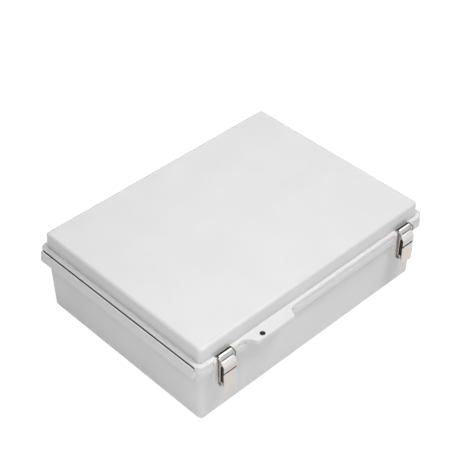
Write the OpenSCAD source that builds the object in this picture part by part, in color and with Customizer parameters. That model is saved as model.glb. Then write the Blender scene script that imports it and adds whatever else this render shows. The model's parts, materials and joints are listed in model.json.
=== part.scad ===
// Hinged ABS enclosure, lying on its back, with two stainless draw latches.
// X runs along the long side, the latches face -Y, the hinge is on +Y.
// The origin is at the centre of the back face, which is the resting face.

/* [Lid] */
// Length of the raised lid panel
panel_w = 390; // [300:1:480]
// Depth of the raised lid panel
panel_d = 290; // [220:1:360]
// Height of the panel above the lid flange
panel_rise = 22.1; // [15:0.1:40]
// Plan radius of the panel corners
panel_corner_r = 5; // [4.5:0.1:8]
// Rounding of the panel's top edge
panel_edge_r = 4; // [2:0.1:4.4]
// Wall thickness of the lid
lid_wall = 3; // [2.4:0.1:3.6]
// Height of the upright band at the foot of the panel wall
foot_band_h = 7; // [3:0.5:10]
// How far the drafted wall runs out down to the foot band
foot_band_t = 0.5; // [0.2:0.1:1]
// Width of the groove in the flange along the foot of the wall
groove_w = 1.5; // [1:0.1:2]
// Depth of the groove
groove_d = 0.8; // [0.5:0.1:1.2]
// Width of the deeper pocket behind each latch hook
pocket_w = 3.4; // [2.5:0.1:3.6]
// Depth of the pockets
pocket_d = 1.6; // [1:0.1:1.8]
// Reach of the lid flange past the panel, at the short sides
flange_reach_x = 7.4; // [6.5:0.1:9]
// Reach of the lid flange past the panel, at the long sides
flange_reach_y = 6; // [5.5:0.1:6.6]
// Plan radius of the flange corners
flange_corner_r = 9.5; // [9.2:0.1:14]
// Thickness of the flange plate
flange_t = 3; // [2.5:0.1:3.5]
// Rounding of the flange's top edge
flange_edge_r = 1.6; // [0.8:0.1:2]
// Height of the skirt, from its lower edge to the top of the flange
skirt_h = 7.4; // [7:0.1:9]
// Thickness of the skirt
skirt_t = 2.8; // [2:0.1:3.2]

/* [Base] */
// Height of the base from its back to the top of its rim
base_h = 93.7; // [75:0.1:140]
// Wall and floor thickness of the base
base_wall = 3.2; // [2.6:0.1:3.6]
// Draft of the base walls in degrees
base_draft = 2; // [1:0.1:3]
// Plan radius of the wall corners, under the rim
base_corner_r = 9.5; // [8.5:0.1:12]
// Rounding of the edge round the back
base_edge_r = 4; // [3:0.1:4.8]
// Height of the rim
rim_h = 9.5; // [8:0.1:11]
// Rounding of the rim's outer edges
rim_edge_r = 0.8; // [0.4:0.1:1]
// Reach of the rim past the wall
rim_reach = 5.85; // [5:0.05:7]
// How far the rim stands out past the lid skirt
rim_step = 0.6; // [0.3:0.1:1.2]
// Gap between the rim and the lid skirt
seam_gap = 0.4; // [0.3:0.1:1]
// Thickness of the sealing tongue on the rim
tongue_t = 2; // [1.5:0.1:2.4]

/* [Side lips] */
// Gap between the lid flange and the lip
lip_gap = 1.7; // [1:0.1:3]
// Thickness of the lip at its root
lip_t = 1.6; // [1.5:0.1:3]
// How far the lip's outer face leans in at its top
lip_lean = 0.3; // [0:0.1:0.5]
// Rounding of the lip's top edge
lip_edge_r = 0.5; // [0.3:0.1:0.6]
// How far the top of the lip lies below the top of the flange
lip_drop = 2.5; // [0:0.1:6]
// How far each end of the lip stops short of the flange
lip_end_inset = 7.5; // [4:0.5:14]

/* [Seal] */
// Thickness of the gasket
gasket_t = 2.5; // [1.5:0.1:3.5]
// Clearance at each side of the gasket in its channel
gasket_side_gap = 0.2; // [0.1:0.1:0.5]
// Thickness of the rib on the inner side of the channel
rib_t = 1.5; // [1:0.1:2]
// How far the rib reaches past the gasket
rib_past = 1; // [0.5:0.1:1.5]
// How far the rib overlaps the wall of the raised panel
rib_lap = 0.2; // [0.1:0.1:0.4]
// How far the base tongue lies outside the middle of the gasket
tongue_off = 0.2; // [0:0.1:0.4]

/* [Grip tab] */
// Distance of the tab's centre from the left end of the flange
tab_inset = 113.4; // [100:0.1:150]
// Width of the tab's front edge
tab_w = 65.6; // [50:0.1:90]
// Reach of the tab past the flange
tab_reach = 14.7; // [12:0.1:20]
// Spread of each slanted tab side
tab_spread = 5; // [3:0.1:8]
// Rounding of the tab's front corners
tab_corner_r = 5; // [3:0.1:6]
// Radius of the fillet where the tab leaves the flange
tab_root_r = 13; // [8:0.5:14]
// Thickness of the tab
tab_t = 5; // [3.5:0.1:6]
// Diameter of the padlock hole
padlock_d = 7; // [5:0.1:8]
// Distance of the padlock hole from the tab's centre
padlock_off = 18; // [10:0.1:22]
// Distance of the padlock hole from the flange edge
padlock_out = 8.2; // [7.5:0.1:9]
// Wall of the base's padlock eye round its hole
lug_wall = 1.6; // [1.2:0.1:2.4]
// Thickness of the base's padlock eye and of its arm
lug_t = 3; // [2.4:0.1:3.6]
// Gap between the arm of the padlock eye and the lid, and between the eye and the tab
lug_gap = 0.5; // [0.3:0.1:0.8]

/* [Hinge] */
// Distance of each hinge's centre from the end of the flange
hinge_inset = 70; // [55:0.5:110]
// Diameter of the hinge pin
hinge_pin_d = 4; // [3:0.1:5]
// Wall of the knuckle round the pin
knuckle_wall = 2.8; // [2.2:0.1:3.2]
// Gap between the base rim and the knuckle
knuckle_gap = 0.4; // [0.3:0.1:1]
// Length of the middle knuckle, on the lid
lid_knuckle_l = 25; // [15:0.5:40]
// Length of each outer knuckle, on the base
base_knuckle_l = 15; // [8:0.5:24]
// Gap between neighbouring knuckles
knuckle_end_gap = 0.4; // [0.2:0.1:1]
// Radial running clearance of the pin in the lid knuckle
hinge_clear = 0.05; // [0.02:0.01:0.1]

/* [Latches] */
// Distance of each latch's centre from the end of the flange
latch_inset = 40.4; // [34:0.1:50]
// Width of the lever
lever_w = 20.8; // [18:0.1:26]
// Sheet thickness of the lever
lever_t = 1.1; // [0.9:0.1:1.3]
// How far the lever's pivot lies below the flange top
pivot_drop = 9.2; // [8.8:0.1:9.8]
// Gap between the base rim and the roll round the lever's pivot
roll_gap = 0.5; // [0.3:0.1:1]
// Gap between the bracket's eyes and the roll
eye_gap = 0.3; // [0.2:0.1:0.5]
// Length of the lever's flat face below the roll
face_l = 12.3; // [11:0.1:14]
// Slant of the flat face in degrees
face_lean = 13; // [10:1:15]
// Length of the lever from the pivot to its tip
tongue_l = 40; // [38:0.1:44]
// Rounding of the tongue's lower corners
tongue_r = 6; // [3:0.5:8]
// Height of the slot between the flat face and the tongue
slot_h = 3.1; // [2:0.1:4]
// How far the tongue starts behind the lower edge of the flat face
tongue_set = 0.2; // [0:0.1:0.5]
// Height of the tongue's part that its inner stay joins
stay_h = 6; // [4:0.1:8]
// How far the tongue runs out from its start to its tip
tip_out = 0.5; // [0.2:0.1:1.5]
// Outward kick of the tongue's tip
tip_kick = 0.8; // [0.4:0.1:2]
// Length of the kicked tip
tip_l = 1.6; // [1:0.1:3]
// Distance of the loop's pivot below the lever's pivot
pivot_span = 30.8; // [30:0.1:32]
// How far the loop's pivot lies outside the lever's pivot
over_centre = 0.25; // [0.1:0.05:0.5]
// Diameter of the latch pins
latch_pin_d = 2.2; // [2:0.1:2.5]
// Radial running clearance of the latch pins
latch_clear = 0.05; // [0.02:0.01:0.1]
// Wall of the bracket's and the lever's eyes round their pins
eye_wall = 0.8; // [0.7:0.1:1]
// Sheet thickness of the loop
loop_t = 1.4; // [1:0.1:1.6]
// Gap between the lever and each side plate of the loop
loop_side_gap = 0.4; // [0.3:0.1:0.8]
// Gap between the flange top and the hook of the loop
hook_gap = 0.3; // [0.2:0.1:0.6]
// Reach of the hook over the flange
hook_reach = 2; // [1.8:0.1:2.4]
// Distance of the hook's bend outside the skirt
hook_bend = 0.3; // [0.1:0.1:0.6]
// Distance of the web's lower edge outside the skirt
web_out = 3.9; // [3.5:0.1:4.1]
// Fall of the web from the hook to its lower edge
web_fall = 5.5; // [4.5:0.1:5.7]
// Gap between the base rim and the side plates of the loop
rail_gap = 1.5; // [1.2:0.1:2]
// Width of each side plate of the loop
rail_w = 3.4; // [3:0.1:3.8]
// How far the front corner of each side plate lies below the flange top
rail_fall = 1.4; // [1:0.1:2]
// Wall of the side plates round the loop's pin
rail_end_wall = 2.6; // [2:0.1:2.8]
// Height of the loop pin's heads
pin_head_h = 0.8; // [0.5:0.1:1.2]
// Sheet thickness of the bracket
bracket_t = 1.2; // [0.8:0.1:1.4]
// Height of the bracket's plate
bracket_h = 19; // [17:0.5:22]
// Distance of the bracket's top edge below the lever's pivot
bracket_drop = 5.8; // [5.4:0.1:6.4]
// Height of the foot of the bracket's ears
ear_foot_h = 12; // [9:0.5:14]
// How far the ears' upper edge starts below the bracket's top edge
ear_drop = 2; // [1.5:0.1:3]
// Gap between the bracket's ears and the lever's bearing
ear_gap = 0.4; // [0.3:0.1:0.8]
// Width of the lever's bearing between the ears
bearing_w = 13.2; // [10:0.1:15]
// Width of the moulded pad behind the latch
pad_w = 36; // [34:0.5:44]
// How far the pad's side ribs stand out of the skirt
pad_out = 1.4; // [1:0.1:2.4]
// Gap between the loop and each side rib of the pad
pad_gap = 0.8; // [0.5:0.1:1.2]
// How far the pad reaches below the bracket
pad_below = 1.5; // [0.5:0.1:4]
// Shank diameter of the bracket screws
screw_d = 3.5; // [2.5:0.1:4]
// Length of the bracket screws under the head
screw_l = 7; // [5:0.1:8]
// Head diameter of the bracket screws
screw_head_d = 5.6; // [4.5:0.1:6.5]
// Head height of the bracket screws
screw_head_h = 1.6; // [1.2:0.1:2]
// Distance of the upper screw from the bracket's top edge
screw_top_inset = 5.5; // [4:0.1:6.5]
// Distance of the lower screw from the bracket's bottom edge
screw_foot_inset = 4.5; // [3.6:0.1:5.5]

/* [Threaded bushes] */
// Distance of the wall bushes from the ends of the flange
wall_bush_x_inset = 30.4; // [26:0.1:60]
// Distance of the wall bushes from the long sides of the flange
wall_bush_y_inset = 30; // [26:0.5:60]
// Outer diameter of a wall bush
wall_bush_d = 9; // [8:0.1:10]
// Length of a wall bush
wall_bush_l = 10; // [6:0.5:14]
// Thread bore of a wall bush
wall_bore_d = 5; // [4:0.1:6]
// Distance of the plate bushes from the ends of the flange
plate_bush_x_inset = 52.4; // [49:0.1:90]
// Distance of the plate bushes from the long sides of the flange
plate_bush_y_inset = 51; // [48:0.5:90]
// Outer diameter of a plate bush
plate_bush_d = 7; // [6:0.1:8]
// Length of a plate bush
plate_bush_l = 9; // [6:0.5:12]
// Thread bore of a plate bush
plate_bore_d = 4.2; // [3.2:0.1:5]
// Height of the plate posts above the back
plate_post_h = 16; // [15:0.5:24]
// Wall of the posts round their bushes
post_wall = 3; // [2:0.1:4]

/* [Hidden] */
$fn = 64;
abs_grey = [0.86, 0.86, 0.86];
steel = [0.74, 0.73, 0.71];
brass = [0.78, 0.62, 0.30];
foam = [0.25, 0.25, 0.26];
// How far a joined piece runs into its neighbour, and a cut runs past a face
lap = 1;
eps = 0.01;

// Half sizes of the lid flange, and its straight core between the corner centres
flange_x = panel_w / 2 + flange_reach_x;
flange_y = panel_d / 2 + flange_reach_y;
core_x = flange_x - flange_corner_r;
core_y = flange_y - flange_corner_r;
panel_core_x = panel_w / 2 - panel_corner_r;
panel_core_y = panel_d / 2 - panel_corner_r;
band_off = panel_corner_r + foot_band_t;

// Heights
skirt_z = base_h + seam_gap;
flange_z = skirt_z + skirt_h;
top_z = flange_z + panel_rise;
channel_z = flange_z - flange_t;
gasket_z = channel_z - gasket_t;
rim_z = base_h - rim_h;

// Half sizes of the base wall under the rim, and its core
wall_x = flange_x + rim_step - rim_reach;
wall_y = flange_y + rim_step - rim_reach;
wall_core_x = wall_x - base_corner_r;
wall_core_y = wall_y - base_corner_r;
function wall_out(z) = base_corner_r + (z - rim_z) * tan(base_draft);
function wall_in(z) = wall_out(z) - base_wall / cos(base_draft);

// Offsets of the seal from the flange core
skirt_in = flange_corner_r - skirt_t;
rib_in = max(0, flange_corner_r - min(flange_reach_x, flange_reach_y) - lid_wall + rib_lap);
rib_out = rib_in + rib_t;
tongue_mid = (rib_out + skirt_in) / 2 + tongue_off;

// Hinge axis
knuckle_r = hinge_pin_d / 2 + knuckle_wall;
hinge_y = flange_y + rim_step + knuckle_gap + knuckle_r;
hinge_z = base_h + seam_gap / 2;
hinge_x = flange_x - hinge_inset;
hinge_l = lid_knuckle_l + 2 * (knuckle_end_gap + base_knuckle_l);

// Grip tab
tab_x = tab_inset - flange_x;
padlock_x = tab_x - padlock_off;
padlock_y = flange_y + padlock_out;

// Latch profile, in a plane with u outwards from the skirt and w up from the flange top
latch_x = flange_x - latch_inset;
pin_r = latch_pin_d / 2;
eye_r = pin_r + eye_wall;
rail_end_r = pin_r + rail_end_wall;
roll_in_r = eye_r + eye_gap;
roll_r = roll_in_r + lever_t;
bearing_r = roll_in_r + lever_t / 4;
lever_axis = [rim_step + roll_gap + roll_r, -pivot_drop];
loop_axis = lever_axis + [over_centre, -pivot_span];
face_up = [-sin(face_lean), cos(face_lean)];
face_out = [cos(face_lean), sin(face_lean)];
face_end = lever_axis + (roll_r - lever_t / 2) * face_out - face_l * face_up;
tongue_top = face_end - [tongue_set, slot_h];
tongue_tip = [tongue_top[0] + tip_out, lever_axis[1] - tongue_l];
tongue_end = tongue_tip + [tip_kick, -tip_l];
tongue_run = tongue_tip - tongue_top;
function tongue_at(w) = tongue_top + tongue_run * (w - tongue_top[1]) / tongue_run[1];
bracket_face = rim_step + bracket_t;
bracket_top = lever_axis[1] - bracket_drop;
bracket_foot = bracket_top - bracket_h;
screw_rows = [bracket_top - screw_top_inset, bracket_foot + screw_foot_inset];
ear_in = bearing_w / 2 + ear_gap;
ear_out = ear_in + bracket_t;
rail_in = lever_w / 2 + loop_side_gap;
rail_out = rail_in + loop_t;
rail_rear = rim_step + rail_gap;
rail_front = rail_rear + rail_w;
hook_mid = hook_gap + loop_t / 2;
pad_in = rail_out + pad_gap;
pad_top = base_h - flange_z;
pad_foot = bracket_foot - pad_below;

// Ring of a profile swept round a core rectangle; the profile's x is the offset from the core
module ring(half_x, half_y) {
    for (turn = [0:3]) {
        along = turn % 2 == 0 ? half_x : half_y;
        across = turn % 2 == 0 ? half_y : half_x;
        rotate(90 * turn) {
            translate([along, 0, 0]) rotate([90, 0, 0]) linear_extrude(2 * across, center = true) children();
            translate([along, across, 0]) rotate_extrude(angle = 90) children();
        }
    }
}

// Waste outside a round of radius r at an upper (up = 1) or lower (up = -1) outer corner
module corner_waste(at, r, up) {
    difference() {
        translate([at[0] - r, up > 0 ? at[1] - r : at[1] - eps]) square([r + 2, r + eps]);
        translate([at[0] - r, at[1] - up * r]) circle(r);
        translate([at[0] - 2 * r, at[1] - up * r - r]) square([r, 2 * r]);
    }
}

// Bent sheet of thickness t along a path of a profile, with mitred bends
function unit(v) = v / norm(v);
function left_of(v) = [-v[1], v[0]];
function leg(path, i) = left_of(unit(path[i + 1] - path[i]));
function mitre(path, i) =
    i == 0 ? leg(path, 0)
    : i == len(path) - 1 ? leg(path, i - 1)
    : (leg(path, i - 1) + leg(path, i)) / (1 + leg(path, i - 1) * leg(path, i));
module sheet(path, t) {
    last = len(path) - 1;
    polygon(concat([for (i = [0:last]) path[i] + mitre(path, i) * t / 2],
                   [for (i = [last:-1:0]) path[i] - mitre(path, i) * t / 2]));
}

// Latch profile extruded across the latch, between two distances from its middle
module across_latch(x0, x1) {
    translate([(x0 + x1) / 2, 0, 0])
        rotate([90, 0, -90])
            linear_extrude(x1 - x0, center = true) children();
}

module both_sides() {
    children();
    mirror([1, 0, 0]) children();
}

module at_latch(side) {
    translate([side * latch_x, -flange_y, flange_z]) children();
}

module latch_bore(at, r, half_l) {
    across_latch(-half_l, half_l) translate(at) circle(r);
}

module at_corners(inset_x, inset_y) {
    for (sx = [-1, 1])
        for (sy = [-1, 1])
            translate([sx * (flange_x - inset_x), sy * (flange_y - inset_y), 0]) children();
}

module round_rect(half_x, half_y, r) {
    square([2 * (half_x - r), 2 * half_y], center = true);
    square([2 * half_x, 2 * (half_y - r)], center = true);
    for (sx = [-1, 1])
        for (sy = [-1, 1])
            translate([sx * (half_x - r), sy * (half_y - r)]) circle(r);
}

module wall_profile() {
    edge_out = wall_out(base_edge_r);
    difference() {
        polygon([[0, 0], [edge_out, 0], [edge_out, base_edge_r], [wall_out(base_h), base_h],
                 [wall_in(base_h), base_h], [wall_in(base_wall), base_wall], [0, base_wall]]);
        corner_waste([edge_out, 0], base_edge_r, -1);
    }
}

// Rim plate round the top of the wall, with the sealing tongue on it
module base_rim() {
    rim_out = flange_corner_r + rim_step;
    translate([0, 0, rim_z]) linear_extrude(rim_h) difference() {
        round_rect(flange_x - rim_edge_r, flange_y - rim_edge_r, flange_corner_r - rim_edge_r);
        round_rect(wall_x - base_wall / 2, wall_y - base_wall / 2, base_corner_r - base_wall / 2);
    }
    ring(core_x, core_y) difference() {
        translate([rim_out - rim_reach / 2, rim_z]) square([rim_reach / 2, rim_h]);
        corner_waste([rim_out, base_h], rim_edge_r, 1);
        corner_waste([rim_out, rim_z], rim_edge_r, -1);
    }
    ring(core_x, core_y) translate([tongue_mid - tongue_t / 2, base_h - lap])
        square([tongue_t, gasket_z - base_h + lap]);
}

module side_lip() {
    lip_root = flange_x - lip_t;
    lip_in = flange_x + lip_gap;
    lip_out = lip_in + lip_t;
    lip_top = flange_z - lip_drop;
    lip_l = 2 * (flange_y - lip_end_inset);
    lip_mid = [lip_out - lip_lean - lip_edge_r, lip_top - lip_edge_r];
    translate([0, lip_l / 2, 0]) rotate([90, 0, 0]) linear_extrude(lip_l) {
        polygon([[lip_root, rim_z], [lip_out, rim_z], lip_mid + [lip_edge_r, 0], [lip_in, lip_mid[1]],
                 [lip_in, base_h - lap], [lip_root, base_h - lap]]);
        translate([lip_in, lip_mid[1] - lip_edge_r]) square([lip_mid[0] - lip_in, 2 * lip_edge_r]);
        translate(lip_mid) circle(lip_edge_r);
    }
}

// Moulded pad behind a latch: a block under the rim, and a rib at each side of the latch
module base_pad() {
    wall_u = wall_y - base_wall * 3 / 4 - flange_y;
    across_latch(-pad_w / 2, pad_w / 2)
        translate([wall_u, pad_foot]) square([rim_step - wall_u, rim_z - flange_z + lap - pad_foot]);
    both_sides() across_latch(pad_in, pad_w / 2)
        translate([0, pad_foot]) square([pad_out, pad_top - pad_foot]);
}

module screw_holes() {
    for (row = screw_rows)
        translate([0, -bracket_face, row]) rotate([-90, 0, 0]) cylinder(d = screw_d, h = screw_l);
}

module base_knuckle() {
    inner = lid_knuckle_l / 2 + knuckle_end_gap;
    root = flange_y - lap;
    translate([inner, 0, 0]) rotate([90, 0, 90]) linear_extrude(base_knuckle_l) {
        translate([hinge_y, hinge_z]) circle(knuckle_r);
        polygon([[root, rim_z], [hinge_y, hinge_z - knuckle_r], [hinge_y, hinge_z], [root, base_h]]);
    }
}

module hinge_bore(d) {
    translate([-hinge_l / 2 - lap, hinge_y, hinge_z]) rotate([0, 90, 0])
        cylinder(d = d, h = hinge_l + 2 * lap);
}

// Padlock eye on an arm that rises from the rim, close under the grip tab
module padlock_lug() {
    lug_w = padlock_d + 2 * lug_wall;
    lug_top = flange_z - tab_t - lug_gap;
    translate([padlock_x, -flange_y, 0]) {
        translate([0, 0, lug_top - lug_t]) linear_extrude(lug_t) {
            translate([0, -padlock_out]) circle(d = lug_w);
            translate([-lug_w / 2, -padlock_out]) square([lug_w, padlock_out - lug_gap]);
        }
        translate([-lug_w / 2, -lug_gap - lug_t, rim_z]) cube([lug_w, lug_t, lug_top - rim_z]);
        translate([-lug_w / 2, -lug_gap - lap, rim_z]) cube([lug_w, 2 * lap, rim_h - lug_gap]);
    }
}

module padlock_hole() {
    translate([padlock_x, -padlock_y, rim_z]) cylinder(d = padlock_d, h = flange_z - rim_z + lap);
}

module base_box() color(abs_grey) difference() {
    union() {
        translate([-wall_core_x, -wall_core_y, 0]) cube([2 * wall_core_x, 2 * wall_core_y, base_wall]);
        ring(wall_core_x, wall_core_y) wall_profile();
        base_rim();
        both_sides() side_lip();
        for (side = [-1, 1]) {
            at_latch(side) base_pad();
            translate([side * hinge_x, 0, 0]) both_sides() base_knuckle();
        }
        padlock_lug();
        at_corners(wall_bush_x_inset, wall_bush_y_inset)
            cylinder(d = wall_bush_d + 2 * post_wall, h = wall_bush_l + post_wall);
        at_corners(plate_bush_x_inset, plate_bush_y_inset)
            cylinder(d = plate_bush_d + 2 * post_wall, h = plate_post_h);
    }
    for (side = [-1, 1]) {
        at_latch(side) screw_holes();
        translate([side * hinge_x, 0, 0]) hinge_bore(hinge_pin_d);
    }
    padlock_hole();
    at_corners(wall_bush_x_inset, wall_bush_y_inset)
        translate([0, 0, -lap]) cylinder(d = wall_bush_d, h = wall_bush_l + lap);
    at_corners(plate_bush_x_inset, plate_bush_y_inset)
        translate([0, 0, plate_post_h - plate_bush_l]) cylinder(d = plate_bush_d, h = plate_bush_l + lap);
}

module panel_profile() {
    band_z = flange_z + foot_band_h;
    inner_off = panel_corner_r - lid_wall;
    difference() {
        polygon([[0, top_z], [panel_corner_r, top_z], [panel_corner_r, top_z - panel_edge_r],
                 [band_off, band_z], [band_off, channel_z], [inner_off, channel_z],
                 [inner_off, top_z - lid_wall], [0, top_z - lid_wall]]);
        corner_waste([panel_corner_r, top_z], panel_edge_r, 1);
    }
}

module flange_profile() {
    difference() {
        polygon([[rib_in, gasket_z - rib_past], [rib_out, gasket_z - rib_past], [rib_out, channel_z],
                 [skirt_in, channel_z], [skirt_in, skirt_z], [flange_corner_r, skirt_z],
                 [flange_corner_r, flange_z], [rib_in, flange_z]]);
        corner_waste([flange_corner_r, flange_z], flange_edge_r, 1);
    }
}

// Outline of half the grip tab, from its middle to its root, with a round corner and a root fillet
module half_tab() {
    lean = atan2(tab_spread, tab_reach);
    down_side = [-sin(lean), -cos(lean)];
    corner_c = [tab_w / 2 - tab_corner_r, -tab_reach + tab_corner_r];
    side_p = corner_c + tab_corner_r * [cos(lean), -sin(lean)];
    root_p = side_p - side_p[1] * [tan(lean), 1];
    fillet_l = tab_root_r * tan(45 - lean / 2);
    fillet_c = root_p + [fillet_l, -tab_root_r];
    root_y = flange_edge_r + lap;
    difference() {
        union() {
            polygon([[0, root_y], [0, -tab_reach], [corner_c[0], -tab_reach], side_p, root_p,
                     [fillet_c[0], 0], [fillet_c[0], root_y]]);
            translate(corner_c) circle(tab_corner_r);
            polygon([root_p, [fillet_c[0], 0], fillet_c, root_p + fillet_l * down_side]);
        }
        translate(fillet_c) circle(tab_root_r);
    }
}

module lid_tab() {
    translate([tab_x, -flange_y, flange_z - tab_t]) linear_extrude(tab_t) both_sides() half_tab();
}

module lid_pad() {
    shoulder = -flange_edge_r - pad_out;
    both_sides() across_latch(pad_in, pad_w / 2)
        polygon([[-lap, -skirt_h], [pad_out, -skirt_h], [pad_out, shoulder],
                 [-lap, shoulder + pad_out + lap]]);
}

module lid_knuckle() {
    root = flange_y - lap;
    web_turn = 40;
    rotate([90, 0, 90]) linear_extrude(lid_knuckle_l, center = true) {
        translate([hinge_y, hinge_z]) circle(knuckle_r);
        polygon([[root, skirt_z], [hinge_y, hinge_z],
                 [hinge_y + knuckle_r * cos(web_turn), hinge_z + knuckle_r * sin(web_turn)],
                 [root, flange_z - flange_edge_r]]);
    }
}

module lid() color(abs_grey) difference() {
    union() {
        translate([-panel_core_x, -panel_core_y, top_z - lid_wall])
            cube([2 * panel_core_x, 2 * panel_core_y, lid_wall]);
        ring(panel_core_x, panel_core_y) panel_profile();
        ring(core_x, core_y) flange_profile();
        lid_tab();
        for (side = [-1, 1]) {
            at_latch(side) lid_pad();
            translate([side * hinge_x, 0, 0]) lid_knuckle();
        }
    }
    ring(panel_core_x, panel_core_y) translate([band_off, flange_z - groove_d])
        square([groove_w, groove_d + lap]);
    for (side = [-1, 1])
        translate([side * latch_x - pad_in, -panel_core_y - band_off - pocket_w, flange_z - pocket_d])
            cube([2 * pad_in, pocket_w, pocket_d + lap]);
    padlock_hole();
    for (side = [-1, 1])
        translate([side * hinge_x, 0, 0]) hinge_bore(hinge_pin_d + 2 * hinge_clear);
}

module lid_gasket() color(foam) ring(core_x, core_y)
    polygon([[rib_out + gasket_side_gap, gasket_z], [skirt_in - gasket_side_gap, gasket_z],
             [skirt_in - gasket_side_gap, channel_z], [rib_out + gasket_side_gap, channel_z]]);

module hinge_pin(side) color(steel)
    translate([side * hinge_x - hinge_l / 2, hinge_y, hinge_z]) rotate([0, 90, 0])
        cylinder(d = hinge_pin_d, h = hinge_l);

// Fixed channel of sheet: a plate on the pad, and two ears that carry the lever's pin
module latch_bracket(side) color(steel) at_latch(side) difference() {
    ear_foot = bracket_top - ear_foot_h;
    front_turn = -40;
    back_turn = 215;
    union() {
        across_latch(-ear_out, ear_out)
            translate([rim_step, bracket_foot]) square([bracket_t, bracket_h]);
        both_sides() across_latch(ear_in, ear_out) {
            translate(lever_axis) circle(eye_r);
            polygon([[rim_step, bracket_top - ear_drop], [rim_step, ear_foot], [bracket_face, ear_foot],
                     lever_axis + eye_r * [cos(front_turn), sin(front_turn)],
                     lever_axis + eye_r * [cos(back_turn), sin(back_turn)]]);
        }
    }
    latch_bore(lever_axis, pin_r, ear_out + lap);
    for (row = screw_rows)
        translate([0, -bracket_face - lap, row]) rotate([-90, 0, 0])
            cylinder(d = screw_d, h = bracket_t + 2 * lap);
}

module bracket_screws() color(steel) for (side = [-1, 1]) at_latch(side) for (row = screw_rows)
    translate([0, -bracket_face - screw_head_h, row]) rotate([-90, 0, 0]) {
        cylinder(d = screw_head_d, h = screw_head_h);
        cylinder(d = screw_d, h = screw_head_h + screw_l);
    }

module lever_pin(side) color(steel) at_latch(side) latch_bore(lever_axis, pin_r, lever_w / 2 - lever_t);

// Edge of the lever rolled round its pivot, and the flat face below it
module roll_profile() {
    far = 2 * roll_r;
    arc_turn = 72;
    translate(lever_axis) rotate(face_lean) {
        intersection() {
            difference() {
                circle(roll_r);
                circle(roll_in_r);
            }
            polygon([[0, 0], [far, 0], [far, far], far * [cos(arc_turn), sin(arc_turn)]]);
        }
        translate([roll_in_r, -face_l]) square([lever_t, face_l]);
    }
}

module tongue_corner_waste() {
    translate([lever_w / 2 - tongue_r, 0, tongue_end[1] - lever_t / 2]) rotate([90, 0, 0])
        linear_extrude(2 * tongue_end[0]) difference() {
            translate([0, -lap]) square([tongue_r + lap, tongue_r + lap]);
            translate([0, tongue_r]) circle(tongue_r);
        }
}

module latch_lever(side) color(steel) at_latch(side) difference() {
    union() {
        across_latch(-lever_w / 2, lever_w / 2) {
            roll_profile();
            sheet([tongue_top, tongue_tip, tongue_end], lever_t);
        }
        across_latch(-bearing_w / 2, bearing_w / 2) {
            translate(lever_axis) circle(bearing_r);
            sheet([lever_axis + [bearing_r / 2, 0], [lever_axis[0] + bearing_r / 2, tongue_top[1]],
                   tongue_at(tongue_top[1] - stay_h)], lever_t);
        }
        both_sides() across_latch(lever_w / 2 - lever_t, lever_w / 2) {
            translate(loop_axis) circle(eye_r);
            polygon([loop_axis + [0, eye_r], loop_axis - [0, eye_r], tongue_at(loop_axis[1] - 2 * eye_r),
                     tongue_at(loop_axis[1] + 2 * eye_r)]);
        }
    }
    latch_bore(lever_axis, pin_r + latch_clear, lever_w);
    latch_bore(loop_axis, pin_r, lever_w);
    both_sides() tongue_corner_waste();
}

module loop_pin(side) color(steel) at_latch(side) {
    head_in = rail_out + pin_head_h / 8;
    head_out = head_in + pin_head_h;
    latch_bore(loop_axis, pin_r, head_out);
    both_sides() across_latch(head_in, head_out) translate(loop_axis) circle(eye_r);
}

// Side plate of the loop: from the hook, past the edge of the flange and down to its pivot
module rail_profile() {
    translate(loop_axis) circle(rail_end_r);
    hook_top = hook_gap + loop_t;
    polygon([[-hook_reach, hook_gap], [-hook_reach, hook_mid], [hook_top - hook_mid - hook_reach, hook_top],
             [hook_bend, hook_top], [rail_front, -rail_fall], loop_axis + [0, rail_end_r],
             loop_axis + [rail_end_r, 0], loop_axis - [rail_end_r, 0],
             [rail_rear, loop_axis[1] + 2 * rail_end_r], [rail_rear, -web_fall], [hook_bend, hook_gap]]);
}

module latch_loop(side) color(steel) at_latch(side) difference() {
    union() {
        both_sides() across_latch(rail_in, rail_out) rail_profile();
        across_latch(-rail_out, rail_out)
            sheet([[-hook_reach, hook_mid], [hook_bend, hook_mid], [web_out, hook_mid - web_fall]], loop_t);
    }
    latch_bore(loop_axis, pin_r + latch_clear, rail_out + lap);
}

module plate_inserts() color(brass) at_corners(plate_bush_x_inset, plate_bush_y_inset)
    translate([0, 0, plate_post_h - plate_bush_l]) difference() {
        cylinder(d = plate_bush_d, h = plate_bush_l);
        translate([0, 0, -lap]) cylinder(d = plate_bore_d, h = plate_bush_l + 2 * lap);
    }

module wall_inserts() color(brass) at_corners(wall_bush_x_inset, wall_bush_y_inset) difference() {
    cylinder(d = wall_bush_d, h = wall_bush_l);
    translate([0, 0, -lap]) cylinder(d = wall_bore_d, h = wall_bush_l + 2 * lap);
}

base_box();
lid();
lid_gasket();
hinge_pin(-1);  // hinge_pin_left
hinge_pin(1);  // hinge_pin_right
latch_bracket(-1);  // latch_bracket_left
latch_bracket(1);  // latch_bracket_right
bracket_screws();
lever_pin(-1);  // lever_pin_left
lever_pin(1);  // lever_pin_right
latch_lever(-1);  // latch_lever_left
latch_lever(1);  // latch_lever_right
loop_pin(-1);  // loop_pin_left
loop_pin(1);  // loop_pin_right
latch_loop(-1);  // latch_loop_left
latch_loop(1);  // latch_loop_right
plate_inserts();
wall_inserts();
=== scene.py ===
import json
from math import cos, radians, sin

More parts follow.
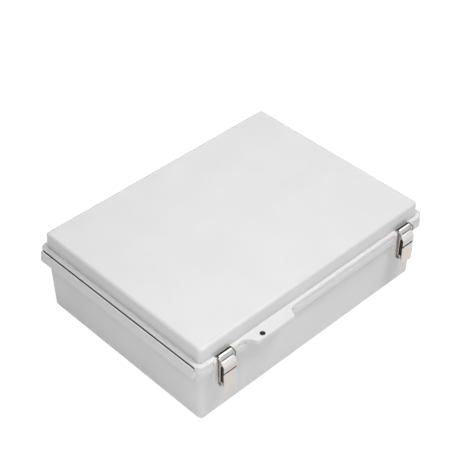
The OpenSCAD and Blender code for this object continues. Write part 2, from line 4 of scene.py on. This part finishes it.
import bpy
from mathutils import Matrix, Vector

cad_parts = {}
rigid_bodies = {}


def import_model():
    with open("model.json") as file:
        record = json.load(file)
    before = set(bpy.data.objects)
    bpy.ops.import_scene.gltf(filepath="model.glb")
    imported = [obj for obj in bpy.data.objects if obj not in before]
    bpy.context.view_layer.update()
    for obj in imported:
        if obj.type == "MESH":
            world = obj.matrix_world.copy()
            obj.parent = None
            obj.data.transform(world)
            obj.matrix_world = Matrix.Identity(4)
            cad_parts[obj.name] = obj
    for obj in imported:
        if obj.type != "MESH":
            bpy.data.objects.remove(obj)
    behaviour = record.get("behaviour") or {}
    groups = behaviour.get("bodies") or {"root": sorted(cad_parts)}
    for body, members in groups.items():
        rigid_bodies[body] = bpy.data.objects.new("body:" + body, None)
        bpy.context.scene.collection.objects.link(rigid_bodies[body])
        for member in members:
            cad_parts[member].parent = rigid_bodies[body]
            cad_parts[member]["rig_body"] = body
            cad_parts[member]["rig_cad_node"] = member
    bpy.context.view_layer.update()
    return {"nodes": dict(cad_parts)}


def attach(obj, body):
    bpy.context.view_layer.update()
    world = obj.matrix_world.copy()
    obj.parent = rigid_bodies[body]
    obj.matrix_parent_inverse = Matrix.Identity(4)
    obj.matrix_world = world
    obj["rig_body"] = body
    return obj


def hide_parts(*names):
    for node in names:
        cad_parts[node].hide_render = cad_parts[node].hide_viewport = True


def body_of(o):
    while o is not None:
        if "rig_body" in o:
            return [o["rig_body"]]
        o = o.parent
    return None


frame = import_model()
nodes = frame["nodes"]
bpy.ops.object.select_all(action="DESELECT")


# Node helpers

def newFinish(name):
    finish = bpy.data.materials.new(name)
    finish.use_nodes = True
    tree = finish.node_tree
    return finish, tree, tree.nodes["Principled BSDF"]


def addNode(tree, kind, values=None, **settings):
    node = tree.nodes.new(kind)
    for key, value in settings.items():
        setattr(node, key, value)
    for key, value in (values or {}).items():
        node.inputs[key].default_value = value
    return node


def objectPoint(tree, scale=(1, 1, 1)):
    place = addNode(tree, "ShaderNodeTexCoord")
    mapping = addNode(tree, "ShaderNodeMapping", {"Scale": scale})
    tree.links.new(place.outputs["Object"], mapping.inputs["Vector"])
    return mapping.outputs["Vector"]


def noiseAt(tree, point, scale, detail=3.0, roughness=0.55):
    noise = addNode(tree, "ShaderNodeTexNoise", {"Scale": scale, "Detail": detail, "Roughness": roughness})
    tree.links.new(point, noise.inputs["Vector"])
    return noise.outputs["Fac"]


def spread(tree, value, low, high, fromLow=0.3, fromHigh=0.7):
    span = addNode(tree, "ShaderNodeMapRange", {"From Min": fromLow, "From Max": fromHigh,
                                                "To Min": low, "To Max": high})
    tree.links.new(value, span.inputs["Value"])
    return span.outputs["Result"]


def blendColours(tree, share, first, second):
    mix = addNode(tree, "ShaderNodeMix", data_type="RGBA")
    mix.inputs["A"].default_value = first
    mix.inputs["B"].default_value = second
    tree.links.new(share, mix.inputs["Factor"])
    return mix.outputs["Result"]


def bumpFrom(tree, height, distance, strength):
    bump = addNode(tree, "ShaderNodeBump", {"Distance": distance, "Strength": strength})
    tree.links.new(height, bump.inputs["Height"])
    return bump.outputs["Normal"]


# Moulded ABS: even pale grey, fine spark-eroded grain, slightly cloudy gloss
mouldedAbs = {"pale": (0.742, 0.734, 0.738, 1), "deep": (0.708, 0.700, 0.705, 1),
              "grainScale": 2600, "grainDetail": 2.0, "grainDepth": 0.00003, "grainBump": 0.5, "cloudScale": 22,
              "roughLow": 0.40, "roughHigh": 0.50, "specular": 0.42}

# Two places are darkened in the finish, because more light reaches them here than in the photograph:
# the padlock hole, and the strip of the lid's skirt that shows through the gap behind each lip
shadedPlaces = {"dark": (0.05, 0.05, 0.05, 1),
                "holeMiddle": (-0.107, -0.1592, 0.0), "holeReach": 0.0037, "holeFade": 0.0001,
                "stripX": (0.2021, 0.2042), "stripEndY": 0.1425, "stripZ": (0.0966, 0.0991), "stripFade": 0.0004}


def joinMasks(tree, kind, first, second):
    mask = addNode(tree, "ShaderNodeMath", operation=kind)
    tree.links.new(first, mask.inputs[0])
    tree.links.new(second, mask.inputs[1])
    return mask.outputs[0]


def holeMask(tree, point, places):
    # 0 within the hole's reach at any height, 1 elsewhere
    flat = addNode(tree, "ShaderNodeVectorMath", {1: (1, 1, 0)}, operation="MULTIPLY")
    away = addNode(tree, "ShaderNodeVectorMath", {1: places["holeMiddle"]}, operation="DISTANCE")
    tree.links.new(point, flat.inputs[0])
    tree.links.new(flat.outputs["Vector"], away.inputs[0])
    return spread(tree, away.outputs["Value"], 0, 1, places["holeReach"] - places["holeFade"], places["holeReach"])


def stripMask(tree, point, places):
    # 0 on the strip of skirt behind each lip, 1 elsewhere
    parts = addNode(tree, "ShaderNodeSeparateXYZ")
    tree.links.new(point, parts.inputs[0])
    fade = places["stripFade"]
    mask = None
    for axis, (low, high) in (("X", places["stripX"]), ("Y", (None, places["stripEndY"])), ("Z", places["stripZ"])):
        size = addNode(tree, "ShaderNodeMath", operation="ABSOLUTE")
        tree.links.new(parts.outputs[axis], size.inputs[0])
        ends = [spread(tree, size.outputs[0], 0, 1, high, high + fade)]
        if low is not None:
            ends.append(spread(tree, size.outputs[0], 1, 0, low - fade, low))
        for end in ends:
            mask = joinMasks(tree, "MAXIMUM", mask, end) if mask else end
    return mask


def makeMouldedAbs(name, look, places, withStrip):
    finish, tree, shader = newFinish(name)
    point = objectPoint(tree)
    cloud = noiseAt(tree, point, look["cloudScale"])
    grain = noiseAt(tree, point, look["grainScale"], look["grainDetail"])
    lit = holeMask(tree, point, places)
    if withStrip:
        lit = joinMasks(tree, "MINIMUM", lit, stripMask(tree, point, places))
    shade = addNode(tree, "ShaderNodeMix", data_type="RGBA")
    shade.inputs["A"].default_value = places["dark"]
    tree.links.new(lit, shade.inputs["Factor"])
    tree.links.new(blendColours(tree, cloud, look["pale"], look["deep"]), shade.inputs["B"])
    tree.links.new(shade.outputs["Result"], shader.inputs["Base Color"])
    tree.links.new(spread(tree, cloud, look["roughLow"], look["roughHigh"]), shader.inputs["Roughness"])
    tree.links.new(bumpFrom(tree, grain, look["grainDepth"], look["grainBump"]), shader.inputs["Normal"])
    shader.inputs["Specular IOR Level"].default_value = look["specular"]
    return finish


# Stainless sheet: brushed across the latch, in long fine lines, or evenly matt
sheetLines = {"detail": 4.0, "depth": 0.00002, "bump": 0.4}
brushedAcross = (60, 2600, 2600)


def makeBrushedSteel(name, look):
    finish, tree, shader = newFinish(name)
    line = noiseAt(tree, objectPoint(tree, look["lineScale"]), 1.0, sheetLines["detail"])
    tree.links.new(blendColours(tree, line, look["pale"], look["deep"]), shader.inputs["Base Color"])
    tree.links.new(spread(tree, line, look["roughLow"], look["roughHigh"]), shader.inputs["Roughness"])
    tree.links.new(bumpFrom(tree, line, sheetLines["depth"], sheetLines["bump"]), shader.inputs["Normal"])
    shader.inputs["Metallic"].default_value = look["metal"]
    return finish


brushedSteel = {"pale": (0.68, 0.645, 0.60, 1), "deep": (0.57, 0.54, 0.50, 1),
                "lineScale": brushedAcross, "roughLow": 0.24, "roughHigh": 0.40, "metal": 1.0}

# Painted shade: near-black steel on the cheeks, the nose and hidden faces, standing in for the shade inside the
# latch
paintedShadeSteel = {"pale": (0.070, 0.065, 0.060, 1), "deep": (0.030, 0.028, 0.026, 1),
             "lineScale": (900, 900, 900), "roughLow": 0.38, "roughHigh": 0.55, "metal": 1.0}

# Painted shade: outer sides of the side plates in darker steel, standing in for the dark they reflect
shadedSideSteel = {"pale": (0.42, 0.40, 0.38, 1), "deep": (0.26, 0.245, 0.235, 1),
             "lineScale": (900, 900, 900), "roughLow": 0.34, "roughHigh": 0.48, "metal": 1.0}

# Painted highlight: pale steel on the strip over the bend of the hook
highlightSteel = {"pale": (0.80, 0.80, 0.795, 1), "deep": (0.72, 0.72, 0.71, 1),
                 "lineScale": brushedAcross, "roughLow": 0.45, "roughHigh": 0.58, "metal": 1.0}

# Hood of the lever
handledSteel = {"pale": (0.64, 0.635, 0.63, 1), "deep": (0.56, 0.555, 0.55, 1),
                "lineScale": brushedAcross, "roughLow": 0.62, "roughHigh": 0.74, "metal": 1.0}

# Painted shade: darker grey steel on the web under the hook, which lies in the hook's shade
shadedWebSteel = {"pale": (0.54, 0.54, 0.545, 1), "deep": (0.46, 0.46, 0.465, 1),
             "lineScale": (700, 700, 700), "roughLow": 0.40, "roughHigh": 0.52, "metal": 1.0}

# Deburred sheet edges: dull and pale
dullEdge = {"pale": (0.80, 0.75, 0.70, 1), "deep": (0.62, 0.58, 0.54, 1),
            "lineScale": (700, 700, 700), "roughLow": 0.45, "roughHigh": 0.60, "metal": 0.25}

# Turned pins, screws and bushes: fine rings left by the tool
turnedRings = {"stretch": (1, 0.15, 0.15), "detail": 2.0, "depth": 0.00001, "bump": 0.4}
turnedSteel = {"pale": (0.24, 0.23, 0.22, 1), "deep": (0.15, 0.145, 0.14, 1),
               "ringScale": 3200, "roughLow": 0.22, "roughHigh": 0.34}
turnedBrass = {"pale": (0.72, 0.53, 0.24, 1), "deep": (0.58, 0.41, 0.17, 1),
               "ringScale": 3000, "roughLow": 0.24, "roughHigh": 0.38}


def makeTurned(name, look):
    finish, tree, shader = newFinish(name)
    ring = noiseAt(tree, objectPoint(tree, turnedRings["stretch"]), look["ringScale"], turnedRings["detail"])
    tree.links.new(blendColours(tree, ring, look["pale"], look["deep"]), shader.inputs["Base Color"])
    tree.links.new(spread(tree, ring, look["roughLow"], look["roughHigh"]), shader.inputs["Roughness"])
    tree.links.new(bumpFrom(tree, ring, turnedRings["depth"], turnedRings["bump"]), shader.inputs["Normal"])
    shader.inputs["Metallic"].default_value = 1
    return finish


# Closed-cell foam of the seal: dark, matt, with small open cells
sealFoam = {"pale": (0.030, 0.030, 0.032, 1), "deep": (0.012, 0.012, 0.013, 1),
            "cellScale": 1500, "cellDepth": 0.0002, "cellBump": 0.6, "roughness": 0.9}


def makeSealFoam(look):
    finish, tree, shader = newFinish("sealFoam")
    cells = addNode(tree, "ShaderNodeTexVoronoi", {"Scale": look["cellScale"]})
    tree.links.new(objectPoint(tree), cells.inputs["Vector"])
    tree.links.new(blendColours(tree, cells.outputs["Distance"], look["deep"], look["pale"]),
                   shader.inputs["Base Color"])
    tree.links.new(bumpFrom(tree, cells.outputs["Distance"], look["cellDepth"], look["cellBump"]),
                   shader.inputs["Normal"])
    shader.inputs["Roughness"].default_value = look["roughness"]
    return finish


absFinish = makeMouldedAbs("mouldedAbs", mouldedAbs, shadedPlaces, False)
lidFinish = makeMouldedAbs("mouldedAbsLid", mouldedAbs, shadedPlaces, True)
sheetFinish = makeBrushedSteel("brushedSteel", brushedSteel)
paintedShadeFinish = makeBrushedSteel("paintedShadeSteel", paintedShadeSteel)
highlightFinish = makeBrushedSteel("highlightSteel", highlightSteel)
shadedSideFinish = makeBrushedSteel("shadedSideSteel", shadedSideSteel)
handledFinish = makeBrushedSteel("handledSteel", handledSteel)
shadedWebFinish = makeBrushedSteel("shadedWebSteel", shadedWebSteel)
edgeFinish = makeBrushedSteel("dullEdge", dullEdge)
pinFinish = makeTurned("turnedSteel", turnedSteel)
brassFinish = makeTurned("turnedBrass", turnedBrass)
foamFinish = makeSealFoam(sealFoam)
print("finishes made")


def finishFor(nodeName):
    if nodeName == "base_box":
        return absFinish
    if nodeName == "lid":
        return lidFinish
    if nodeName == "lid_gasket":
        return foamFinish
    if nodeName.endswith("_inserts"):
        return brassFinish
    if "_pin" in nodeName or "screws" in nodeName:
        return pinFinish
    return sheetFinish


for nodeName, node in nodes.items():
    node.data.materials.clear()
    node.data.materials.append(finishFor(nodeName))
print("finishes on the CAD nodes")

# Latches are drawn in a side view: out from the lid skirt and up from the flange top, in mm
latchView = {"skirtY": -0.151, "flangeZ": 0.1015, "latchX": 0.162, "leverPivot": (4.4, -9.2)}


def inFrame(x, out, up):
    return (x, latchView["skirtY"] - out / 1000, latchView["flangeZ"] + up / 1000)


def arcPoints(centre, radius, first, last, steps):
    turns = [radians(first + (last - first) * step / steps) for step in range(steps + 1)]
    return [(centre[0] + radius * cos(turn), centre[1] + radius * sin(turn)) for turn in turns]


def makeActive(piece, others=()):
    bpy.ops.object.select_all(action="DESELECT")
    for one in (*others, piece):
        one.select_set(True)
    bpy.context.view_layer.objects.active = piece


def profilePlate(name, outline, fromX, toX, finish):
    # a flat outline in the side view, pulled to its width across the latch
    bpy.ops.object.select_all(action="DESELECT")
    bpy.ops.mesh.primitive_circle_add(vertices=len(outline), fill_type="NGON")
    plate = bpy.context.object
    plate.name = name
    for corner, (out, up) in zip(plate.data.vertices, outline):
        corner.co = inFrame(fromX, out, up)
    bpy.ops.object.mode_set(mode="EDIT")
    bpy.ops.mesh.select_all(action="SELECT")
    bpy.ops.mesh.extrude_region_move(TRANSFORM_OT_translate={"value": (toX - fromX, 0, 0)})
    bpy.ops.mesh.select_all(action="SELECT")
    bpy.ops.mesh.normals_make_consistent(inside=False)
    bpy.ops.object.mode_set(mode="OBJECT")
    plate.data.materials.append(finish)
    return plate


# Loose triangles of a CAD node become one skin: corners as near as this, in metres, merge, and so do faces that
# meet as flatly as this, in degrees
merging = {"near": 2e-6, "flatTo": 0.5}


def mergedCopy(nodeName):
    makeActive(nodes[nodeName])
    bpy.ops.object.duplicate()
    piece = bpy.context.object
    piece.name = nodeName + "_soft"
    del piece["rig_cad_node"]
    bpy.ops.mesh.customdata_custom_splitnormals_clear()
    bpy.ops.object.mode_set(mode="EDIT")
    bpy.ops.mesh.select_all(action="SELECT")
    bpy.ops.mesh.remove_doubles(threshold=merging["near"])
    bpy.ops.mesh.dissolve_limited(angle_limit=radians(merging["flatTo"]))
    bpy.ops.object.mode_set(mode="OBJECT")
    return piece


def cutAway(piece, outline, fromX, toX):
    cutter = profilePlate("cutter", outline, fromX, toX, sheetFinish)
    cut = piece.modifiers.new("cut", "BOOLEAN")
    cut.operation = "DIFFERENCE"
    cut.solver = "EXACT"
    cut.object = cutter
    makeActive(piece)
    bpy.ops.object.modifier_apply(modifier="cut")
    bpy.data.objects.remove(cutter)


# Edges sharper than sharpFrom are rounded, and shade smoothly up to smoothTo, in degrees
edgeBreak = {"segments": 3, "sharpFrom": 30, "smoothTo": 40}


def breakEdges(piece, width):
    makeActive(piece)
    soft = piece.modifiers.new("brokenEdge", "BEVEL")
    soft.width = width
    soft.segments = edgeBreak["segments"]
    soft.limit_method = "ANGLE"
    soft.angle_limit = radians(edgeBreak["sharpFrom"])
    soft.use_clamp_overlap = False
    bpy.ops.object.modifier_apply(modifier="brokenEdge")
    bpy.ops.object.shade_smooth_by_angle(angle=radians(edgeBreak["smoothTo"]))


def joinInto(piece, extras):
    makeActive(piece, extras)
    bpy.ops.object.join()


def standFor(piece, nodeName):
    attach(piece, body_of(nodes[nodeName])[0])
    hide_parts(nodeName)


# Lever: the CAD solid, its face bent into a rounded hood, with a side cheek at each end in near-black steel as
# painted shade
leverHood = {"halfWidth": 0.0104, "rollRadius": 3.35, "rollFrom": 100, "rollSteps": 10, "roofTurn": 36.87,
             "bendRadius": 4.0, "bendCentre": (6.6, -13.21), "bendSteps": 8, "faceFoot": -20.4, "sheet": 1.05,
             "edge": 0.00025, "cutHalf": 0.012,
             "cutFace": [(6.95, -7.2), (11.5, -7.2), (11.5, -22.5), (6.95, -22.5)],
             "cheek": [(9.7, -12.6), (9.7, -37.0), (8.8, -39.0), (3.4, -37.0), (2.6, -15.0), (4.4, -12.9),
                       (7.4, -10.6)],
             "cheekFrom": 0.0094, "cheekTo": 0.01036, "cheekEdge": 0.0001}


def hoodOutline(look):
    pivot, bend = latchView["leverPivot"], look["bendCentre"]
    skin = []
    for inset in (0, look["sheet"]):
        path = arcPoints(pivot, look["rollRadius"] - inset, look["rollFrom"], look["roofTurn"],
                         look["rollSteps"])
        path += arcPoints(bend, look["bendRadius"] - inset, look["roofTurn"], 0, look["bendSteps"])
        path.append((bend[0] + look["bendRadius"] - inset, look["faceFoot"]))
        skin.append(path)
    return skin[0] + skin[1][::-1]


def makeLever(side, middle, look):
    nodeName = "latch_lever_" + side
    lever = mergedCopy(nodeName)
    cutAway(lever, look["cutFace"], middle - look["cutHalf"], middle + look["cutHalf"])
    breakEdges(lever, look["edge"])
    hood = profilePlate("hood", hoodOutline(look), middle - look["halfWidth"], middle + look["halfWidth"],
                        handledFinish)
    breakEdges(hood, look["edge"])
    cheeks = []
    for way in (-1, 1):
        cheek = profilePlate("cheek", look["cheek"], middle + way * look["cheekFrom"],
                             middle + way * look["cheekTo"], paintedShadeFinish)
        breakEdges(cheek, look["cheekEdge"])
        cheeks.append(cheek)
    joinInto(lever, [hood] + cheeks)
    standFor(lever, nodeName)


# Loop: the CAD solid with the nose of its hook turned down behind the flange in near-black steel as painted shade,
# a strip in pale
#  steel as a painted highlight over the bend of the hook and a widened head on each side plate; finishes are told
#  apart by the way a face looks
loopShape = {"nose": [(-1.7, 1.7), (-2.3, 1.45), (-4.5, -0.6), (-4.5, -1.3), (-4.0, -1.3), (-2.3, 0.3),
                      (-1.7, 0.3)],
             "noseHalf": 0.0120,
             "strip": [(0.1, 1.95), (1.5, 1.95), (2.2, 1.55), (2.5, 0.9), (1.5, 0.6), (0.1, 0.9)],
             "stripHalf": 0.0104,
             "shoulder": [(-1.6, 1.8), (2.6, 1.9), (6.4, -0.4), (7.2, -1.6), (7.2, -6.5), (5.0, -13.0),
                          (4.2, -13.0), (2.6, -4.5), (0.8, 0.6)],
             "shoulderFrom": 0.0106, "shoulderTo": 0.0120,
             "edge": 0.00022, "plateOuter": 0.0116, "plateInner": 0.0106}
faceLook = {"sideways": 0.8, "forward": -0.4, "upward": 0.9}
loopFinishes = {"hidden": paintedShadeFinish, "frontEdge": edgeFinish, "web": shadedWebFinish, "outerSide": shadedSideFinish}


def addLoopFinishes(piece):
    # the piece's own finish comes first, so each of these is one place further on
    for finish in loopFinishes.values():
        piece.data.materials.append(finish)
    return {name: place + 1 for place, name in enumerate(loopFinishes)}


def makeShoulder(middle, way, look):
    # in the photograph the front edge is pale on the left plate and dark on the right one
    # painted shade and highlight: the right plate keeps near-black steel on its front edge and takes the pale edge
    # steel on its inner side, and the left plate's outer side takes the darker side steel
    shoulder = profilePlate("shoulder", look["shoulder"], middle + way * look["shoulderFrom"],
                            middle + way * look["shoulderTo"], paintedShadeFinish)
    breakEdges(shoulder, look["edge"])
    places = addLoopFinishes(shoulder)
    for face in shoulder.data.polygons:
        leftFacing = face.normal.x < -faceLook["sideways"]
        if way < 0 and face.normal.y < faceLook["forward"] or way > 0 and leftFacing:
            face.material_index = places["frontEdge"]
        elif way < 0 and leftFacing:
            face.material_index = places["outerSide"]
    return shoulder


def makeLoop(side, middle, look):
    nodeName = "latch_loop_" + side
    loop = mergedCopy(nodeName)
    breakEdges(loop, look["edge"])
    places = addLoopFinishes(loop)
    for face in loop.data.polygons:
        across = abs(face.center.x - middle)
        forward = face.normal.y < faceLook["forward"]
        # painted shade: the outer sides, the top of the hook and the web take darker steels
        if abs(face.normal.x) > faceLook["sideways"] and across > look["plateOuter"]:
            face.material_index = places["outerSide"]
        elif forward and across > look["plateInner"]:
            face.material_index = places["frontEdge"]
        elif face.normal.z > faceLook["upward"] and across < look["plateInner"]:
            face.material_index = places["hidden"]    # top of the hook, behind the strip, in near-black steel as painted shade
        elif forward and across < look["plateInner"]:
            face.material_index = places["web"]
    extras = [profilePlate("nose", look["nose"], middle - look["noseHalf"], middle + look["noseHalf"], paintedShadeFinish),
              profilePlate("strip", look["strip"], middle - look["stripHalf"], middle + look["stripHalf"],
                           highlightFinish)]
    for extra in extras:
        breakEdges(extra, look["edge"])
    joinInto(loop, extras + [makeShoulder(middle, way, look) for way in (-1, 1)])
    standFor(loop, nodeName)


for side, middle in (("left", -latchView["latchX"]), ("right", latchView["latchX"])):
    makeLever(side, middle, leverHood)
    makeLoop(side, middle, loopShape)
print("levers and loops shaped")

# Other steel pieces: the CAD solids with their cut edges broken, widths in metres
brokenEdges = {"latch_bracket": 0.0002, "lever_pin": 0.00018, "loop_pin": 0.00018, "bracket_screws": 0.0002}
for nodeName in list(nodes):
    for kind, width in brokenEdges.items():
        if nodeName.startswith(kind):
            piece = mergedCopy(nodeName)
            breakEdges(piece, width)
            standFor(piece, nodeName)
print("steel edges broken")

# Base: the CAD solid with the outer face of each short side's lip leaning out towards its foot
lipLean = {"outerFrom": 0.2045, "foot": 0.0842, "head": 0.0985, "reach": 0.0014, "smoothTo": 30}


def makeBase(look):
    base = mergedCopy("base_box")
    for corner in base.data.vertices:
        if abs(corner.co.x) > look["outerFrom"] and corner.co.z < look["head"]:
            lean = look["reach"] * (look["head"] - corner.co.z) / (look["head"] - look["foot"])
            corner.co.x += lean if corner.co.x > 0 else -lean
    bpy.ops.object.shade_smooth_by_angle(angle=radians(look["smoothTo"]))
    even = base.modifiers.new("evenShade", "WEIGHTED_NORMAL")
    even.keep_sharp = True
    bpy.ops.object.modifier_apply(modifier="evenShade")
    standFor(base, "base_box")


makeBase(lipLean)
print("lips leant")

# Stage: pale floor, white beyond it, big soft lamps
stage = {"floorSize": 8.0, "floorZ": -0.0002, "floorColour": (0.92, 0.92, 0.92, 1), "floorGlow": 0.92,
         "floorGlowDiffuse": (0.16, 0.16, 0.16, 1), "worldStrength": 0.14}


def whiteForLens(tree, dim, white):
    # camera, mirror and glass rays see white, everything else the dim shader
    path = addNode(tree, "ShaderNodeLightPath")
    lens = addNode(tree, "ShaderNodeMath", operation="MAXIMUM")
    seen = addNode(tree, "ShaderNodeMath", operation="MAXIMUM")
    mix = addNode(tree, "ShaderNodeMixShader")
    tree.links.new(path.outputs["Is Camera Ray"], lens.inputs[0])
    tree.links.new(path.outputs["Is Glossy Ray"], lens.inputs[1])
    tree.links.new(lens.outputs[0], seen.inputs[0])
    tree.links.new(path.outputs["Is Transmission Ray"], seen.inputs[1])
    tree.links.new(seen.outputs[0], mix.inputs["Fac"])
    tree.links.new(dim, mix.inputs[1])
    tree.links.new(white, mix.inputs[2])
    return mix.outputs[0]


def makeFloor(look):
    bpy.ops.mesh.primitive_plane_add(size=look["floorSize"], location=(0, 0, look["floorZ"]))
    floor = bpy.context.object
    floor.name = "studioFloor"
    finish, tree, shader = newFinish("studioFloor")
    tree.nodes.remove(shader)
    paper = addNode(tree, "ShaderNodeBsdfDiffuse", {"Color": look["floorColour"]})
    veil = addNode(tree, "ShaderNodeBsdfDiffuse", {"Color": look["floorGlowDiffuse"]})
    glow = addNode(tree, "ShaderNodeEmission", {"Strength": look["floorGlow"]})
    bright = addNode(tree, "ShaderNodeAddShader")
    tree.links.new(veil.outputs[0], bright.inputs[0])
    tree.links.new(glow.outputs[0], bright.inputs[1])
    shown = whiteForLens(tree, paper.outputs[0], bright.outputs[0])
    tree.links.new(shown, tree.nodes["Material Output"].inputs["Surface"])
    floor.data.materials.append(finish)


def makeWorld(look):
    world = bpy.data.worlds.new("studioWorld")
    world.use_nodes = True
    tree = world.node_tree
    soft = tree.nodes["Background"]
    soft.inputs["Color"].default_value = (1, 1, 1, 1)
    soft.inputs["Strength"].default_value = look["worldStrength"]
    white = addNode(tree, "ShaderNodeBackground", {"Color": (1, 1, 1, 1), "Strength": 1.0})
    shown = whiteForLens(tree, soft.outputs[0], white.outputs[0])
    tree.links.new(shown, tree.nodes["World Output"].inputs["Surface"])
    bpy.context.scene.world = world


lamps = {"overhead": {"place": (0.1, 0.3, 1.9), "aim": (0, 0, 0.08), "size": 1.4, "watts": 3.1},
         "keyRight": {"place": (0.45, -0.75, 1.8), "aim": (0, 0, 0.08), "size": 0.6, "watts": 17.6},
         "highLeft": {"place": (-0.75, -0.25, 1.75), "aim": (0, 0, 0.08), "size": 0.6, "watts": 9.0},
         "nearLow": {"place": (-0.72, -0.78, 0.5), "aim": (-0.1, -0.1, 0.08), "size": 0.5, "watts": 2.6},
         "backCard": {"place": (1.0, 1.05, 1.3), "aim": (0, 0, 0.08), "size": 0.8, "watts": 4.6}}


def makeLamp(name, lamp):
    bpy.ops.object.light_add(type="AREA", location=lamp["place"])
    light = bpy.context.object
    light.name = name
    light.data.size = lamp["size"]
    light.data.energy = lamp["watts"]
    aim = Vector(lamp["aim"]) - Vector(lamp["place"])
    light.rotation_euler = aim.to_track_quat("-Z", "Y").to_euler()


# Camera at the photograph's place: angles in degrees, lengths in metres
cameraPlace = {"azimuth": -43.983, "elevation": 40.712, "distance": 1.699,
               "right": -0.00513, "up": 0.07655, "lens": 97.97, "sensor": 36, "farthest": 50}


def makeCamera(place):
    a, e = radians(place["azimuth"]), radians(place["elevation"])
    back = Vector((sin(a) * cos(e), -cos(a) * cos(e), sin(e)))
    right = Vector((cos(a), sin(a), 0))
    spot = back * place["distance"] + right * place["right"] + back.cross(right) * place["up"]
    bpy.ops.object.camera_add(location=spot, rotation=(radians(90) - e, 0, a))
    camera = bpy.context.object
    camera.data.sensor_width = place["sensor"]
    camera.data.lens = place["lens"]
    camera.data.clip_end = place["farthest"]
    bpy.context.scene.camera = camera


makeFloor(stage)
makeWorld(stage)
for lampName, lamp in lamps.items():
    makeLamp(lampName, lamp)
makeCamera(cameraPlace)
bpy.context.scene.view_settings.view_transform = "Standard"
print("stage, lamps and camera set")
